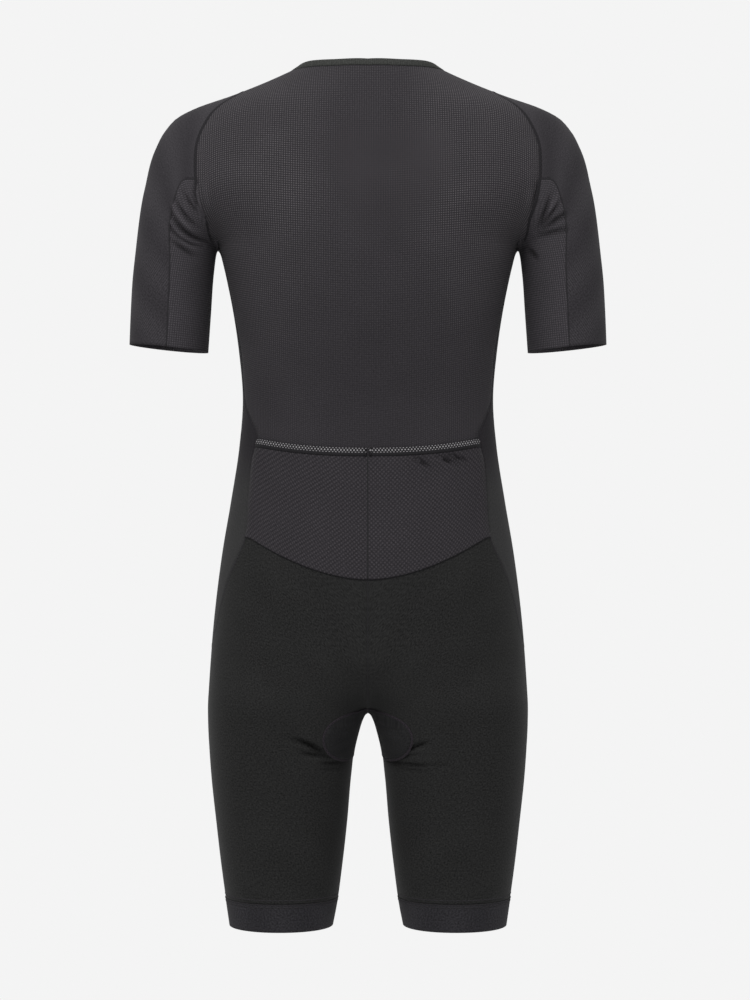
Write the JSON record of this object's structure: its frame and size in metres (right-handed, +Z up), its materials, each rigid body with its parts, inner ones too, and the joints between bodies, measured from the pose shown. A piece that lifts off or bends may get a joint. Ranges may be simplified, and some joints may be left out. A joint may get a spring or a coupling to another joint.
{
  "type": "triathlon suit",
  "caption": "One-piece short-sleeved stretch sports suit with mid-thigh legs, a front zip and a back pocket, hollow and filled out as worn.",
  "frame": {"origin": "middle of the neck opening, level with the two points where the neck seam crosses the shoulders, where the wearer's shoulders hold the suit up", "axes": "+Z up to the head, the front faces -Y, the back with its pocket faces +Y, and +X is the wearer's left"},
  "size_m": [0.5102, 0.2245, 0.9184],
  "materials": {
    "back_mesh": "matt charcoal knit with a fine grid of light dots",
    "front_knit": "matt charcoal knit",
    "side_knit": "smooth near-black knit",
    "sleeve_twill": "matt charcoal with a fine diagonal rib",
    "under_sleeve_mesh": "charcoal mesh with a fine dotted grid",
    "neck_binding": "smooth dark grey binding",
    "pocket_mesh": "dark mesh with a fine diagonal net",
    "pocket_tape": "dark elastic with rows of bright dots",
    "shorts_knit": "matt near-black stretch knit",
    "leg_band": "dark grey knitted gripper",
    "zip_chain": "black coil zip",
    "zip_metal": "dark enamelled metal"
  },
  "bodies": {
    "garment": {"back_panel": "back_mesh", "front_left": "front_knit", "front_right": "front_knit", "side_left": "side_knit", "side_right": "side_knit", "sleeve_left": "sleeve_twill", "sleeve_right": "sleeve_twill", "sleeve_under_left": "under_sleeve_mesh", "sleeve_under_right": "under_sleeve_mesh", "neck_band": "neck_binding", "pocket_panel": "pocket_mesh", "pocket_tape_left": "pocket_tape", "pocket_tape_right": "pocket_tape", "leg_left": "shorts_knit", "leg_right": "shorts_knit", "gusset": "shorts_knit", "band_left": "leg_band", "band_right": "leg_band", "zip_chain": "zip_chain", "zip_slider": "zip_metal"},
    "zip_pull": {"zip_pull": "zip_metal"}
  },
  "joints": [
    {"name": "pull_swing", "type": "hinge", "parent": "garment", "child": "zip_pull", "pos_m": [0, -0.08316, -0.08875], "axis": [-1, 0, 0], "range_deg": [0, 150]}
  ]
}
